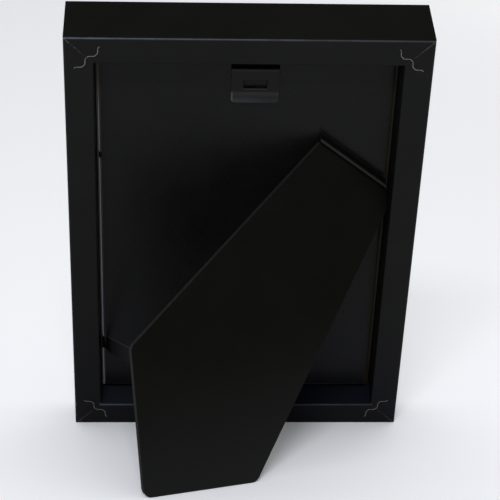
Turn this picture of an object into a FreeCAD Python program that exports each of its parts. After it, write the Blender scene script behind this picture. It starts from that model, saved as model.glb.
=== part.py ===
import FreeCAD, Part
import math
import os
import re
import types

import Sketcher
from FreeCAD import Placement, Rotation, Vector

# Easel back photo frame for a 10 x 15 cm picture, standing in portrait.
# Every piece is drawn on the upright frame: X across it, Z up from its lower edge on the centre line,
# Y square to it with the back face at 0 and the front face at -frame_depth. Left and right are as seen
# from the front. The strut is drawn folded, then turned open on its hinge, and at last the whole frame
# leans back until its lower back edge and the strut's foot stand on one level.
# A "depth" is measured inward from the frame's back face. Millimetres and degrees.

SIZES = {
    # wooden frame: a square box section with a rebate cut in from the back
    "frame_width": 122.6,
    "frame_height": 172.6,
    "frame_depth": 23.7,
    "rail_width": 9.8,
    "lip_overlap": 5.0,
    "lip_depth": 9.4,
    "arris_radius": 0.8,
    "sight_radius": 0.5,
    "rebate_radius": 0.4,
    # corrugated nails across the mitres, each middle set out from the rebate's corner
    "nail_length": 12.0,
    "nail_height": 10.0,
    "nail_thickness": 0.5,
    "nail_rise": 1.4,
    "nail_setout": 1.63,
    # what lies in the rebate in front of the back
    "glass_thickness": 2.0,
    "insert_thickness": 0.3,
    "pane_gap": 0.3,
    "panel_gap": 0.3,
    # back board: greyboard core with a bevelled edge, black paper on the outer face,
    # each of its four edges set in from the rebate's wall
    "board_left_gap": 1.3,
    "board_right_gap": 0.8,
    "board_foot_gap": 1.3,
    "board_head_gap": 0.8,
    "core_thickness": 2.25,
    "paper_thickness": 0.25,
    "bevel_width": 1.0,
    # prongs let into the board's lower edge
    "prong_width": 6.0,
    "prong_thickness": 0.5,
    "prong_grip": 5.0,
    "prong_offset": 18.0,
    "seat_gap": 0.05,
    # sliding catch of bent sheet
    "latch_shift": -2.65,
    "latch_width": 16.3,
    "sheet_thickness": 0.6,
    "latch_drop": 6.7,
    "plate_length": 10.0,
    "finger_length": 2.8,
    "finger_angle": 30.0,
    "finger_radius": 1.2,
    "tongue_drop": 3.9,
    "tongue_width": 7.8,
    "tongue_length": 3.6,
    "tongue_angle": 17.0,
    "tongue_slit": 0.15,
    "latch_travel": 3.0,
    "latch_play": 0.15,
    "slide_gap": 0.05,
    "nose_sink": 1.5,
    "ear_width": 20.1,
    "ear_height": 5.0,
    "ear_rise": 0.7,
    # flat spring under the tongue
    "spring_height": 4.9,
    "spring_width": 6.0,
    "spring_strip": 1.6,
    "spring_depth": 1.0,
    # hinge of the strut, from the board's edge and foot
    "hinge_inset": 0.1,
    "hinge_height": 96.6,
    "hinge_run": 24.1,
    "hinge_rise": 19.7,
    "crease_gap": 0.3,
    "strip_width": 1.7,
    "strut_gap": 0.3,
    # strut, drawn folded
    "strut_core": 2.0,
    "shoulder_drop": 7.4,
    "strut_side_gap": 2.1,
    "foot_gap": 3.5,
    "foot_width": 42.1,
    "foot_radius": 3.2,
    "strut_side_length": 52.7,
    "heel_cut": 0.7,
    "heel_rise": 1.6,
    "open_angle": 34.5,
    # ribbon from the board's edge to the strut
    "ribbon_width": 5.8,
    "ribbon_thickness": 0.25,
    "ribbon_height": 18.8,
    "ribbon_inner_length": 10.0,
    "ribbon_outer_length": 3.5,
    "ribbon_lift_inset": 1.5,
    "strut_tail_length": 12.0,
    "strut_tail_inset": 1.3,
    "strut_tail_drop": 0.4,
    "ribbon_gap": 0.3,
    # how far cuts run past what they cut
    "overrun": 1.0,
}
size = types.SimpleNamespace(**SIZES)

# Shares of a nail's length and rise that its wave passes through.
nail_wave_shares = [
    (-0.5, -0.5), (-0.4375, -0.5), (-0.3125, 0.5), (-0.1875, 0.5), (-0.0625, -0.5),
    (0.0625, -0.5), (0.1875, 0.5), (0.3125, 0.5), (0.4375, -0.5), (0.5, -0.5),
]
# Shares of the spring's height and width at its turns.
spring_turn_shares = [(0.0, -0.5), (0.25, 0.5), (0.5, -0.5), (0.75, 0.5), (1.0, -0.5)]


def axis_turn(point, direction, degrees):
    """The turn about a line through a point."""
    return Placement(Vector(), Rotation(direction, degrees), point)


# Depths of the layers, from the front lip backwards
pane_depth = size.frame_depth - size.lip_depth - size.glass_thickness
insert_depth = pane_depth - size.insert_thickness
board_in_depth = insert_depth - size.panel_gap
board_core_depth = board_in_depth - size.core_thickness
board_out_depth = board_core_depth - size.paper_thickness
strut_in_depth = board_out_depth - size.strut_gap
strut_lining_depth = strut_in_depth - size.paper_thickness
strut_core_depth = strut_lining_depth - size.strut_core
strut_out_depth = strut_core_depth - size.paper_thickness

# Outlines of the rebate and the board
rebate_half = size.frame_width / 2 - size.rail_width
rebate_top = size.frame_height - size.rail_width
board_left = size.board_left_gap - rebate_half
board_right = rebate_half - size.board_right_gap
board_middle = (board_left + board_right) / 2
board_foot = size.rail_width + size.board_foot_gap
board_top = rebate_top - size.board_head_gap

# Catch: heights of its bends and of the cut-out that it runs in
latch_bend = board_top - size.latch_drop
finger_bend = latch_bend - size.plate_length
tongue_root = latch_bend - size.tongue_drop
tongue_end = tongue_root - size.tongue_length * math.cos(math.radians(size.tongue_angle))
notch_foot = latch_bend - size.sheet_thickness - size.latch_travel - size.latch_play
spring_top = tongue_end - size.slide_gap
spring_foot = spring_top - size.spring_height
latch_out_depth = board_out_depth - size.slide_gap - size.sheet_thickness
nose_depth = board_out_depth + size.nose_sink
nose_top = rebate_top - size.seat_gap
ear_foot = latch_bend + size.ear_rise

# Hinge line on the outer face, from its low end at the board's edge to its high end
hinge_low_x = board_left + size.hinge_inset
hinge_low_z = board_foot + size.hinge_height
hinge_high_x = hinge_low_x + size.hinge_run
hinge_high_z = hinge_low_z + size.hinge_rise
hinge_low = Vector(hinge_low_x, -strut_out_depth, hinge_low_z)
hinge_axis = Vector(size.hinge_run, 0, size.hinge_rise).normalize()
opening = axis_turn(hinge_low, hinge_axis, size.open_angle)
slope_cosine = size.hinge_run / math.hypot(size.hinge_run, size.hinge_rise)
crease_rise = size.crease_gap / 2 / slope_cosine
strip_rise = (size.crease_gap / 2 + size.strip_width) / slope_cosine

# The lean brings the foot's outer corner level with the rounded lower back edge of the frame
foot_x = rebate_half - size.strut_side_gap
foot_z = size.rail_width + size.foot_gap
foot_corner = opening.multVec(Vector(foot_x, -strut_in_depth, foot_z))
reach = math.hypot(foot_corner.z - size.arris_radius, foot_corner.y + size.arris_radius)
bearing = math.atan2(foot_corner.y + size.arris_radius, foot_corner.z - size.arris_radius)
lean_angle = math.degrees(math.acos(-size.arris_radius / reach) - bearing)
lean = Placement(Vector(), Rotation(Vector(1, 0, 0), -lean_angle))
# The foot's edge follows the ground, so its inner corner's height comes from the same lean
up_folded = (lean * opening).Rotation.inverted().multVec(Vector(0, 0, 1))
foot_inner_x = foot_x - size.foot_width
foot_inner_z = foot_z + size.foot_width * up_folded.x / up_folded.z

# Ribbon places
ribbon_foot = board_foot + size.ribbon_height
ribbon_top = ribbon_foot + size.ribbon_width
ribbon_lift_x = board_right - size.ribbon_lift_inset
strut_tail_x = foot_x - size.strut_tail_inset
heel_z = foot_z + size.strut_side_length
strut_tail_top = heel_z - size.strut_tail_drop
strut_tail_foot = strut_tail_top - size.ribbon_width

DERIVED = {
    "pane_depth": pane_depth,
    "insert_depth": insert_depth,
    "board_in_depth": board_in_depth,
    "board_core_depth": board_core_depth,
    "board_out_depth": board_out_depth,
    "strut_in_depth": strut_in_depth,
    "strut_lining_depth": strut_lining_depth,
    "strut_core_depth": strut_core_depth,
    "strut_out_depth": strut_out_depth,
    "board_left": board_left,
    "board_right": board_right,
    "board_middle": board_middle,
    "board_foot": board_foot,
    "board_top": board_top,
    "latch_bend": latch_bend,
    "finger_bend": finger_bend,
    "tongue_root": tongue_root,
    "notch_foot": notch_foot,
    "spring_top": spring_top,
    "spring_foot": spring_foot,
    "latch_out_depth": latch_out_depth,
    "nose_depth": nose_depth,
    "nose_top": nose_top,
    "ear_foot": ear_foot,
    "hinge_low_x": hinge_low_x,
    "hinge_low_z": hinge_low_z,
    "hinge_high_x": hinge_high_x,
    "hinge_high_z": hinge_high_z,
    "crease_rise": crease_rise,
    "strip_rise": strip_rise,
    "foot_x": foot_x,
    "foot_z": foot_z,
    "foot_inner_x": foot_inner_x,
    "foot_inner_z": foot_inner_z,
    "heel_z": heel_z,
    "ribbon_foot": ribbon_foot,
    "ribbon_top": ribbon_top,
    "ribbon_lift_x": ribbon_lift_x,
    "strut_tail_x": strut_tail_x,
    "strut_tail_top": strut_tail_top,
    "strut_tail_foot": strut_tail_foot,
}

doc = FreeCAD.newDocument("photo_frame")
sheet = doc.addObject("Spreadsheet::Sheet", "Sizes")
for row, (alias, value) in enumerate({**SIZES, **DERIVED}.items(), start=1):
    sheet.set("A%d" % row, alias)
    sheet.set("B%d" % row, repr(value))
    sheet.setAlias("B%d" % row, alias)
doc.recompute()

sub_parts = {}
SIZE_NAME = re.compile(r"[a-z]+(?:_[a-z]+)+|overrun")


def bound(text):
    """The expression with each size read from the sheet."""
    return SIZE_NAME.sub(lambda found: "Sizes." + found.group(), text)


def new_body(label, turned=None):
    """A body that becomes the named sub-part, kept with its place on the upright frame."""
    body = doc.addObject("PartDesign::Body", label)
    body.Label = label
    sub_parts[label] = (body, turned or Placement())
    return body


def origin_plane(body, role):
    return next(item for item in body.Origin.OriginFeatures if item.Role == role)


def corners_sketch(sketch, corners):
    """A closed outline through the corners, each bound to the sheet by two distances."""
    count = len(corners)
    step = 2 * math.pi / count
    start = [Vector(math.cos(step * k), math.sin(step * k), 0) for k in range(count)]
    for k in range(count):
        sketch.addGeometry(Part.LineSegment(start[k], start[(k + 1) % count]), False)
    for k in range(count):
        sketch.addConstraint(Sketcher.Constraint("Coincident", k, 2, (k + 1) % count, 1))
    for k, (across, up) in enumerate(corners):
        for kind, first, text in (("DistanceX", start[k].x, across), ("DistanceY", start[k].y, up)):
            number = sketch.addConstraint(Sketcher.Constraint(kind, -1, 1, k, 1, first))
            sketch.setExpression("Constraints[%d]" % number, bound(text))
    return sketch


def outline(body, role, corners, depth=None, middle=None, degrees=0):
    """An outline on an origin plane, moved along its normal, or set at a middle and turned there."""
    sketch = body.newObject("Sketcher::SketchObject", body.Label + "_outline")
    sketch.AttachmentSupport = [(origin_plane(body, role), "")]
    sketch.MapMode = "FlatFace"
    sketch.AttachmentOffset = Placement(Vector(), Rotation(Vector(0, 0, 1), degrees))
    if middle:
        sketch.setExpression("AttachmentOffset.Base.x", bound(middle[0]))
        sketch.setExpression("AttachmentOffset.Base.y", bound(middle[1]))
    if depth:
        sketch.setExpression("AttachmentOffset.Base.z", bound(depth))
    return corners_sketch(sketch, corners)


def pad(body, sketch, length, both_ways=False):
    feature = body.newObject("PartDesign::Pad", body.Label + "_pad")
    feature.Profile = sketch
    feature.setExpression("Length", bound(length))
    if both_ways:
        feature.SideType = "Symmetric"
    doc.recompute()
    return feature


def pocket(body, sketch, length, inward=True):
    """A cut from the sketch: inward goes from the back of the frame to its front."""
    feature = body.newObject("PartDesign::Pocket", body.Label + "_pocket")
    before = body.Shape.Volume
    feature.Profile = sketch
    feature.setExpression("Length", bound(length))
    feature.Reversed = inward
    doc.recompute()
    if not feature.Shape.Volume < before:
        raise RuntimeError("a pocket of %s cuts nothing" % body.Label)
    return feature


def ease(body, kind, quantity, wanted, text):
    """A fillet or chamfer on the edges whose two ends both pass the test."""
    tip = body.Tip
    names = []
    for number, edge in enumerate(tip.Shape.Edges, start=1):
        ends = [vertex.Point for vertex in edge.Vertexes]
        if len(ends) == 2 and wanted(*ends):
            names.append("Edge%d" % number)
    feature = body.newObject(kind, body.Label + "_" + quantity.lower())
    feature.Base = (tip, names)
    feature.setExpression(quantity, bound(text))
    doc.recompute()
    return feature


def same(first, second):
    """Whether two lengths agree, to a millionth of the frame's width."""
    return abs(first - second) < size.frame_width * 1e-6


def rectangle(left, right, foot, top):
    return [(left, foot), (right, foot), (right, top), (left, top)]


def frame_corner(side, level, inset_x, inset_z):
    """A corner of the frame's outline, drawn in by an inset along each direction."""
    across = "-frame_width / 2 + (%s)" if side == "left" else "frame_width / 2 - (%s)"
    up = "(%s)" if level == "bottom" else "frame_height - (%s)"
    return across % inset_x, up % inset_z


CORNERS = {
    "top_left": ("left", "top", -135),
    "top_right": ("right", "top", 135),
    "bottom_left": ("left", "bottom", -45),
    "bottom_right": ("right", "bottom", 45),
}


def nail_outline(body, corner):
    """The wave of one corrugated nail in the back face, square across its mitre."""
    side, level, degrees = CORNERS[corner]
    middle = frame_corner(side, level, "rail_width - nail_setout", "rail_width - nail_setout")
    inner = []
    outer = []
    for along_share, rise_share in nail_wave_shares:
        along = "nail_length * %r" % along_share
        inner.append((along, "nail_rise * %r - nail_thickness / 2" % rise_share))
        outer.append((along, "nail_rise * %r + nail_thickness / 2" % rise_share))
    return outline(body, "XZ_Plane", inner + outer[::-1], middle=middle, degrees=degrees)


def make_rail(label, first, second):
    """One mitred rail from a first corner to a second, rebated, eased and slotted for its nails."""
    body = new_body(label)
    side_a, level_a, _ = CORNERS[first]
    side_b, level_b, _ = CORNERS[second]
    inner = "rail_width + lip_overlap"
    upright = side_a == side_b
    pad(body, outline(body, "XZ_Plane", [
        frame_corner(side_a, level_a, "0", "0"), frame_corner(side_b, level_b, "0", "0"),
        frame_corner(side_b, level_b, inner, inner), frame_corner(side_a, level_a, inner, inner),
    ]), "frame_depth")

    rebate = []
    for side, level, inset in (
            (side_a, level_a, "rail_width"), (side_b, level_b, "rail_width"),
            (side_b, level_b, inner + " + overrun"), (side_a, level_a, inner + " + overrun")):
        insets = (inset, "0") if upright else ("0", inset)
        rebate.append(frame_corner(side, level, *insets))
    pocket(body, outline(body, "XZ_Plane", rebate), "frame_depth - lip_depth")

    def inset_of(point):
        if upright:
            return size.frame_width / 2 - abs(point.x)
        return point.z if level_a == "bottom" else size.frame_height - point.z

    def outer_arris(start, end):
        return same(start.y, end.y) and same(inset_of(start), 0) and same(inset_of(end), 0)

    def sight_arris(start, end):
        front = same(start.y, -size.frame_depth) and same(end.y, -size.frame_depth)
        opening_inset = size.rail_width + size.lip_overlap
        return front and same(inset_of(start), opening_inset) and same(inset_of(end), opening_inset)

    def rebate_arris(start, end):
        back = same(start.y, 0) and same(end.y, 0)
        return back and same(inset_of(start), size.rail_width) and same(inset_of(end), size.rail_width)

    ease(body, "PartDesign::Fillet", "Radius", outer_arris, "arris_radius")
    ease(body, "PartDesign::Fillet", "Radius", rebate_arris, "rebate_radius")
    ease(body, "PartDesign::Fillet", "Radius", sight_arris, "sight_radius")
    for corner in (first, second):
        pocket(body, nail_outline(body, corner), "nail_height")


def make_nail(corner):
    body = new_body("corner_fastener_" + corner)
    pad(body, nail_outline(body, corner), "nail_height")


def make_sheet_in_rebate(label, depth, thickness):
    """A flat sheet in the rebate, lying against what is in front of it."""
    body = new_body(label)
    half = "frame_width / 2 - rail_width - pane_gap"
    corners = rectangle("-(%s)" % half, half, "rail_width + pane_gap", "frame_height - rail_width - pane_gap")
    pad(body, outline(body, "XZ_Plane", corners, depth), thickness)


def board_outline(inset):
    """The board's outline with the catch's notch in its top edge and the tongue's slot below it."""
    notch = "latch_width / 2 + latch_play"
    slot = "tongue_width / 2 + latch_play"
    right = "latch_shift + (%s)"
    left = "latch_shift - (%s)"
    top = "board_top - %s" % inset
    return rectangle("board_left + " + inset, "board_right - " + inset, "board_foot + " + inset, top)[:3] + [
        (right % notch, top), (right % notch, "notch_foot"),
        (right % slot, "notch_foot"), (right % slot, "spring_foot"),
        (left % slot, "spring_foot"), (left % slot, "notch_foot"),
        (left % notch, "notch_foot"), (left % notch, top),
        ("board_left + " + inset, top),
    ]


def prong_corners(side, foot, play):
    """A prong's outline, or its housing's where it has play."""
    middle = "board_middle + prong_offset * %d" % side
    return rectangle(middle + " - prong_width / 2 - " + play, middle + " + prong_width / 2 + " + play,
                     foot, "board_foot + prong_grip + " + play)


def make_board():
    core = new_body("back_board_core")
    pad(core, outline(core, "XZ_Plane", board_outline("0"), "board_core_depth"), "core_thickness")

    def outer_edge(start, end):
        on_face = same(start.y, -board_core_depth) and same(end.y, -board_core_depth)
        sides = [(p.x, p.z) for p in (start, end)]
        along_side = all(same(x, board_left) for x, _ in sides) or all(same(x, board_right) for x, _ in sides)
        along_end = all(same(z, board_foot) for _, z in sides) or all(same(z, board_top) for _, z in sides)
        return on_face and (along_side or along_end)

    ease(core, "PartDesign::Chamfer", "Size", outer_edge, "bevel_width - paper_thickness")
    ears = "ear_width / 2 + latch_play"
    recess = rectangle("latch_shift - (%s)" % ears, "latch_shift + " + ears,
                       "ear_foot - latch_travel - latch_play", "board_top + overrun")
    pocket(core, outline(core, "XZ_Plane", recess, "board_in_depth"),
           "board_in_depth - nose_depth + slide_gap", inward=False)
    for side in (-1, 1):
        housing = prong_corners(side, "board_foot - overrun", "slide_gap")
        pocket(core, outline(core, "XZ_Plane", housing, "board_in_depth"), "prong_thickness", inward=False)

    cover = new_body("back_board_cover")
    pad(cover, outline(cover, "XZ_Plane", board_outline("bevel_width"), "board_out_depth"), "paper_thickness")

    for side, label in ((-1, "seat_prong_left"), (1, "seat_prong_right")):
        prong = new_body(label)
        corners = prong_corners(side, "rail_width + seat_gap", "0")
        pad(prong, outline(prong, "XZ_Plane", corners, "board_in_depth - prong_thickness"), "prong_thickness")


def make_latch():
    """The catch: finger edge, plate, step into the notch, nose with two ears, and the bent tongue."""
    body = new_body("latch_plate")
    outer = "-latch_out_depth"
    inner = "-latch_out_depth - sheet_thickness"
    finger_y = "finger_length * sin(finger_angle)"
    finger_z = "finger_length * cos(finger_angle)"
    side = [
        (outer, "latch_bend"), ("-nose_depth", "latch_bend"), ("-nose_depth", "nose_top"),
        ("-nose_depth - sheet_thickness", "nose_top"),
        ("-nose_depth - sheet_thickness", "latch_bend - sheet_thickness"),
        (inner, "latch_bend - sheet_thickness"),
        (inner, "finger_bend - sheet_thickness * tan(finger_angle / 2)"),
        (outer + " + %s - sheet_thickness * cos(finger_angle)" % finger_y,
         "finger_bend - %s - sheet_thickness * sin(finger_angle)" % finger_z),
        (outer + " + " + finger_y, "finger_bend - " + finger_z),
        (outer, "finger_bend"),
    ]
    pad(body, outline(body, "YZ_Plane", side, "latch_shift"), "latch_width", both_ways=True)

    end_height = finger_bend - size.finger_length * math.cos(math.radians(size.finger_angle)) / 2

    def finger_corner(start, end):
        return max(start.z, end.z) < end_height and same(start.x, end.x)

    ease(body, "PartDesign::Fillet", "Radius", finger_corner, "finger_radius")
    half = "tongue_width / 2 + tongue_slit"
    window = rectangle("latch_shift - (%s)" % half, "latch_shift + " + half,
                       "tongue_root - tongue_length", "tongue_root")
    pocket(body, outline(body, "XZ_Plane", window, "latch_out_depth - slide_gap"),
           "sheet_thickness + slide_gap * 2")
    tongue_y = "tongue_length * sin(tongue_angle)"
    tongue_z = "tongue_length * cos(tongue_angle)"
    tongue = [
        (outer, "tongue_root + sheet_thickness"), (outer, "tongue_root"),
        (outer + " - " + tongue_y, "tongue_root - " + tongue_z),
        (outer + " - %s - sheet_thickness * cos(tongue_angle)" % tongue_y,
         "tongue_root - %s + sheet_thickness * sin(tongue_angle)" % tongue_z),
        (inner, "tongue_root + sheet_thickness * tan(tongue_angle / 2)"),
        (inner, "tongue_root + sheet_thickness"),
    ]
    pad(body, outline(body, "YZ_Plane", tongue, "latch_shift"), "tongue_width", both_ways=True)
    ears = rectangle("-nose_depth - sheet_thickness", "-nose_depth", "ear_foot", "ear_foot + ear_height")
    pad(body, outline(body, "YZ_Plane", ears, "latch_shift"), "ear_width", both_ways=True)

    spring = new_body("latch_spring")
    left = []
    right = []
    for height_share, width_share in spring_turn_shares:
        up = "spring_foot + spring_height * %r" % height_share
        across = "latch_shift + (spring_width - spring_strip) * %r" % width_share
        left.append((across + " - spring_strip / 2", up))
        right.append((across + " + spring_strip / 2", up))
    pad(spring, outline(spring, "XZ_Plane", left + right[::-1], "board_core_depth"), "spring_depth")


def make_hinge_strip():
    """The fixed strip beside the crease, its glue on the board and its paper."""
    corners = [
        ("hinge_high_x", "hinge_high_z + crease_rise"), ("hinge_low_x", "hinge_low_z + crease_rise"),
        ("hinge_low_x", "hinge_low_z + strip_rise"), ("hinge_high_x", "hinge_high_z + strip_rise"),
    ]
    for label, depth, thickness in (
            ("hinge_glue", "strut_in_depth", "strut_gap"),
            ("hinge_strip_core", "strut_core_depth", "strut_core + paper_thickness"),
            ("hinge_strip_cover", "strut_out_depth", "paper_thickness")):
        body = new_body(label)
        pad(body, outline(body, "XZ_Plane", corners, depth), thickness)


def make_strut():
    """The strut's greyboard and the paper on its two faces, drawn folded and turned open."""
    corners = [
        ("hinge_high_x", "hinge_high_z - crease_rise"), ("hinge_low_x", "hinge_low_z - crease_rise"),
        ("hinge_low_x", "hinge_low_z - shoulder_drop"), ("foot_inner_x", "foot_inner_z"),
        ("foot_x", "foot_z"), ("foot_x", "heel_z"), ("foot_x - heel_cut", "heel_z + heel_rise"),
    ]

    def foot_edge(start, end):
        across_sheet = same(start.x, end.x) and same(start.z, end.z)
        low_corners = ((foot_x, foot_z), (foot_inner_x, foot_inner_z))
        return across_sheet and any(same(start.x, x) and same(start.z, z) for x, z in low_corners)

    for label, depth, thickness in (
            ("strut_cover", "strut_out_depth", "paper_thickness"),
            ("strut_core", "strut_core_depth", "strut_core"),
            ("strut_lining", "strut_lining_depth", "paper_thickness")):
        body = new_body(label, opening)
        pad(body, outline(body, "XZ_Plane", corners, depth), thickness)
        ease(body, "PartDesign::Fillet", "Radius", foot_edge, "foot_radius")

    tail = new_body("ribbon_strut_tail", opening)
    corners = rectangle("strut_tail_x - strut_tail_length", "strut_tail_x", "strut_tail_foot", "strut_tail_top")
    pad(tail, outline(tail, "XZ_Plane", corners, "strut_in_depth"), "ribbon_thickness")


def make_ribbon():
    """The ribbon's end round the board's edge, and its taut stretch to the strut."""
    tail = new_body("ribbon_board_tail")
    turn = "ribbon_thickness * (sqrt(2) - 1)"
    bevel_side = "-board_out_depth - bevel_width"
    corners = [
        ("board_right - ribbon_inner_length", "-board_in_depth"), ("board_right", "-board_in_depth"),
        ("board_right", bevel_side), ("board_right - bevel_width", "-board_out_depth"),
        ("board_right - bevel_width - ribbon_outer_length", "-board_out_depth"),
        ("board_right - bevel_width - ribbon_outer_length", "-board_out_depth + ribbon_thickness"),
        ("board_right - bevel_width + " + turn, "-board_out_depth + ribbon_thickness"),
        ("board_right + ribbon_thickness", bevel_side + " + " + turn),
        ("board_right + ribbon_thickness", "-board_in_depth - ribbon_thickness"),
        ("board_right - ribbon_inner_length", "-board_in_depth - ribbon_thickness"),
    ]
    pad(tail, outline(tail, "XY_Plane", corners, "ribbon_foot"), "ribbon_width")

    upright = Rotation(Vector(1, 0, 0), 90)
    lower = doc.addObject("Sketcher::SketchObject", "ribbon_lower_section")
    corners_sketch(lower, rectangle("ribbon_lift_x - ribbon_thickness / 2", "ribbon_lift_x + ribbon_thickness / 2",
                                    "ribbon_foot", "ribbon_top"))
    lower.Placement = Placement(Vector(0, size.ribbon_thickness - board_out_depth, 0), upright)
    upper = doc.addObject("Sketcher::SketchObject", "ribbon_upper_section")
    corners_sketch(upper, rectangle("strut_tail_x - ribbon_thickness", "strut_tail_x",
                                    "strut_tail_foot", "strut_tail_top"))
    clear_depth = strut_in_depth + size.ribbon_thickness + size.ribbon_gap
    upper.Placement = opening * Placement(Vector(0, -clear_depth, 0), upright)
    stretch = doc.addObject("Part::Loft", "ribbon_stay")
    stretch.Label = "ribbon_stay"
    stretch.Sections = [lower, upper]
    stretch.Solid = True
    stretch.Ruled = True
    sub_parts["ribbon_stay"] = (stretch, Placement())


def stand_up():
    """Lean every sub-part back, lowest point at height 0, middle of the outline's box at the origin."""
    for item, place in sub_parts.values():
        item.Placement = lean * place
    doc.recompute()
    whole = FreeCAD.BoundBox()
    for item, _ in sub_parts.values():
        whole.add(item.Shape.optimalBoundingBox(False, False))
    stand = Placement(Vector(-whole.Center.x, -whole.Center.y, -whole.ZMin), Rotation()) * lean
    for item, place in sub_parts.values():
        item.Placement = stand * place
    doc.recompute()
    return stand


def check_and_export():
    for item in doc.Objects:
        for state in item.State:
            if state in ("Invalid", "Error"):
                raise RuntimeError("%s is in state %s" % (item.Label, state))
    for label, (item, _) in sub_parts.items():
        if item.Shape.isNull() or not item.Shape.isValid() or not item.Shape.Solids:
            raise RuntimeError("%s has no sound shape" % label)
    os.makedirs("parts", exist_ok=True)
    for label, (item, _) in sub_parts.items():
        item.Shape.exportStep("parts/%s.step" % label)


make_rail("rail_top", "top_left", "top_right")
make_rail("rail_bottom", "bottom_left", "bottom_right")
make_rail("rail_left", "bottom_left", "top_left")
make_rail("rail_right", "bottom_right", "top_right")
for corner_name in CORNERS:
    make_nail(corner_name)
make_sheet_in_rebate("glass_pane", "pane_depth", "glass_thickness")
make_sheet_in_rebate("photo_insert", "insert_depth", "insert_thickness")
make_board()
make_latch()
make_hinge_strip()
make_strut()
make_ribbon()
stand = stand_up()
check_and_export()
print("lean %.2f degrees, ribbon stretch %.1f mm" % (
    lean_angle,
    (Vector(ribbon_lift_x, size.ribbon_thickness - board_out_depth, ribbon_foot)
     - opening.multVec(Vector(strut_tail_x, -strut_in_depth, strut_tail_foot))).Length))
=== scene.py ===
import math

import bmesh
import bpy
from mathutils import Matrix, Vector


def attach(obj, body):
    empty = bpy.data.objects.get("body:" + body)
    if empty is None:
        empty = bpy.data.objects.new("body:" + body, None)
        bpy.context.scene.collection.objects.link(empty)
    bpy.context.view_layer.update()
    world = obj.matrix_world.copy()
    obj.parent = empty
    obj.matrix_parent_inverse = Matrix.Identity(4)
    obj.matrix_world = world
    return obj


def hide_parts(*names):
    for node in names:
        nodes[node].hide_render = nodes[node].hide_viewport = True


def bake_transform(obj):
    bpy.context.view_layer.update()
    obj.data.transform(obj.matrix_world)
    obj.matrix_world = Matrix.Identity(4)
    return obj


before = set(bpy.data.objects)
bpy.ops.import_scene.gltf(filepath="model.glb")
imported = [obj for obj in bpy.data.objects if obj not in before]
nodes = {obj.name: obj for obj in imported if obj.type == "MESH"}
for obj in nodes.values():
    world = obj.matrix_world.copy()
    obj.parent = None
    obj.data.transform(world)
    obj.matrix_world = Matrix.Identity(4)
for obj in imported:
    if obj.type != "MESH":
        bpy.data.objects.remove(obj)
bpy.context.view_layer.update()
scene = bpy.context.scene

# The upright frame's drawing places, in millimetres: x across, depth inward from the back face,
# z up from the lower edge. The frame then leans about X, and the strut is turned open on its hinge.
MM = 0.001
LEAN = math.radians(23.934468)
STAND = Matrix.Translation((0, -27.993937, -0.255761)) @ Matrix.Rotation(-LEAN, 4, "X")
TO_DRAWING = STAND.inverted() @ Matrix.Scale(1000, 4)
HINGE_LOW = Vector((-50.1, -6.4, 107.7))
HINGE_HIGH = Vector((-26.0, -6.4, 127.4))
OPEN_ANGLE = math.radians(34.5)
OPENING = (Matrix.Translation(HINGE_LOW)
           @ Matrix.Rotation(OPEN_ANGLE, 4, HINGE_HIGH - HINGE_LOW)
           @ Matrix.Translation(-HINGE_LOW))
OPENED = STAND @ OPENING

# Wooden frame, with the nails across its mitres set out from the rebate's corners
HALF_WIDTH = 61.3
HEIGHT = 172.6
RAIL = 9.8
NAIL_LENGTH = 12.0
NAIL_HEIGHT = 10.0
NAIL_RISE = 1.4
NAIL_SETOUT = 1.63

# Depths of the layers, and the board's bevelled right edge
STRUT_IN = 8.9
BOARD_OUT = 9.2
BOARD_IN = 11.7
CARD_BACK = 12.0
CARD_FACE = 12.24
PANE_GAP = 0.3
BOARD_RIGHT = 50.7
BEVEL = 1.0

# Catch, by the middle of its sheet: depths, heights, and half widths from its own middle
SHEET = 0.6
LATCH_X = -2.65
PLATE_DEPTH = 8.85
NOSE_DEPTH = 11.0
FINGER_BEND = 145.3
LATCH_BEND = 155.0
NOSE_TOP = 162.75
WINDOW_FOOT = 147.8
TONGUE_ROOT = 151.4
EAR_FOOT = 156.0
EAR_TOP = 161.0
PLATE_HALF = 8.15
SLIT_HALF = 4.05
TONGUE_HALF = 3.9
EAR_HALF = 10.05
FINGER_LENGTH = 2.8
FINGER_ANGLE = math.radians(30)
FINGER_CORNER = 1.2
TONGUE_LENGTH = 3.6
TONGUE_ANGLE = math.radians(17)

# Ribbon from the board's edge to the strut
RIBBON = 0.25
RIBBON_FOOT = 29.9
RIBBON_TOP = 35.7
RIBBON_INNER_LENGTH = 10.0
RIBBON_LIFT_X = 49.2
TAIL_FOOT = 59.8
TAIL_TOP = 65.6
TAIL_X = 48.1
TAIL_LENGTH = 12.0
TAIL_BEND = 0.8

# What rounding leaves between places that are the same
SAME = 1e-6


def put(x, depth, z):
    """A place of the drawing on the leaning frame, in metres."""
    return (STAND @ Vector((x, -depth, z))) * MM


def new_object(name, data):
    made = bpy.data.objects.new(name, data)
    scene.collection.objects.link(made)
    return made


def mesh_from(name, points, faces, smooth=True):
    mesh = bpy.data.meshes.new(name)
    mesh.from_pydata([tuple(p) for p in points], [], faces)
    mesh.validate()
    for face in mesh.polygons:
        face.use_smooth = smooth
    return new_object(name, mesh)


def modifier(made, kind, **settings):
    added = made.modifiers.new(kind.lower(), kind)
    for key, value in settings.items():
        setattr(added, key, value)


def settle(made):
    """Applies the piece's modifiers to its mesh."""
    depsgraph = bpy.context.evaluated_depsgraph_get()
    mesh = bpy.data.meshes.new_from_object(made.evaluated_get(depsgraph))
    made.modifiers.clear()
    made.data = mesh


def face_outward(made):
    """Turns all the faces' normals outward."""
    bm = bmesh.new()
    bm.from_mesh(made.data)
    bmesh.ops.recalc_face_normals(bm, faces=bm.faces)
    bm.to_mesh(made.data)
    bm.free()


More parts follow.
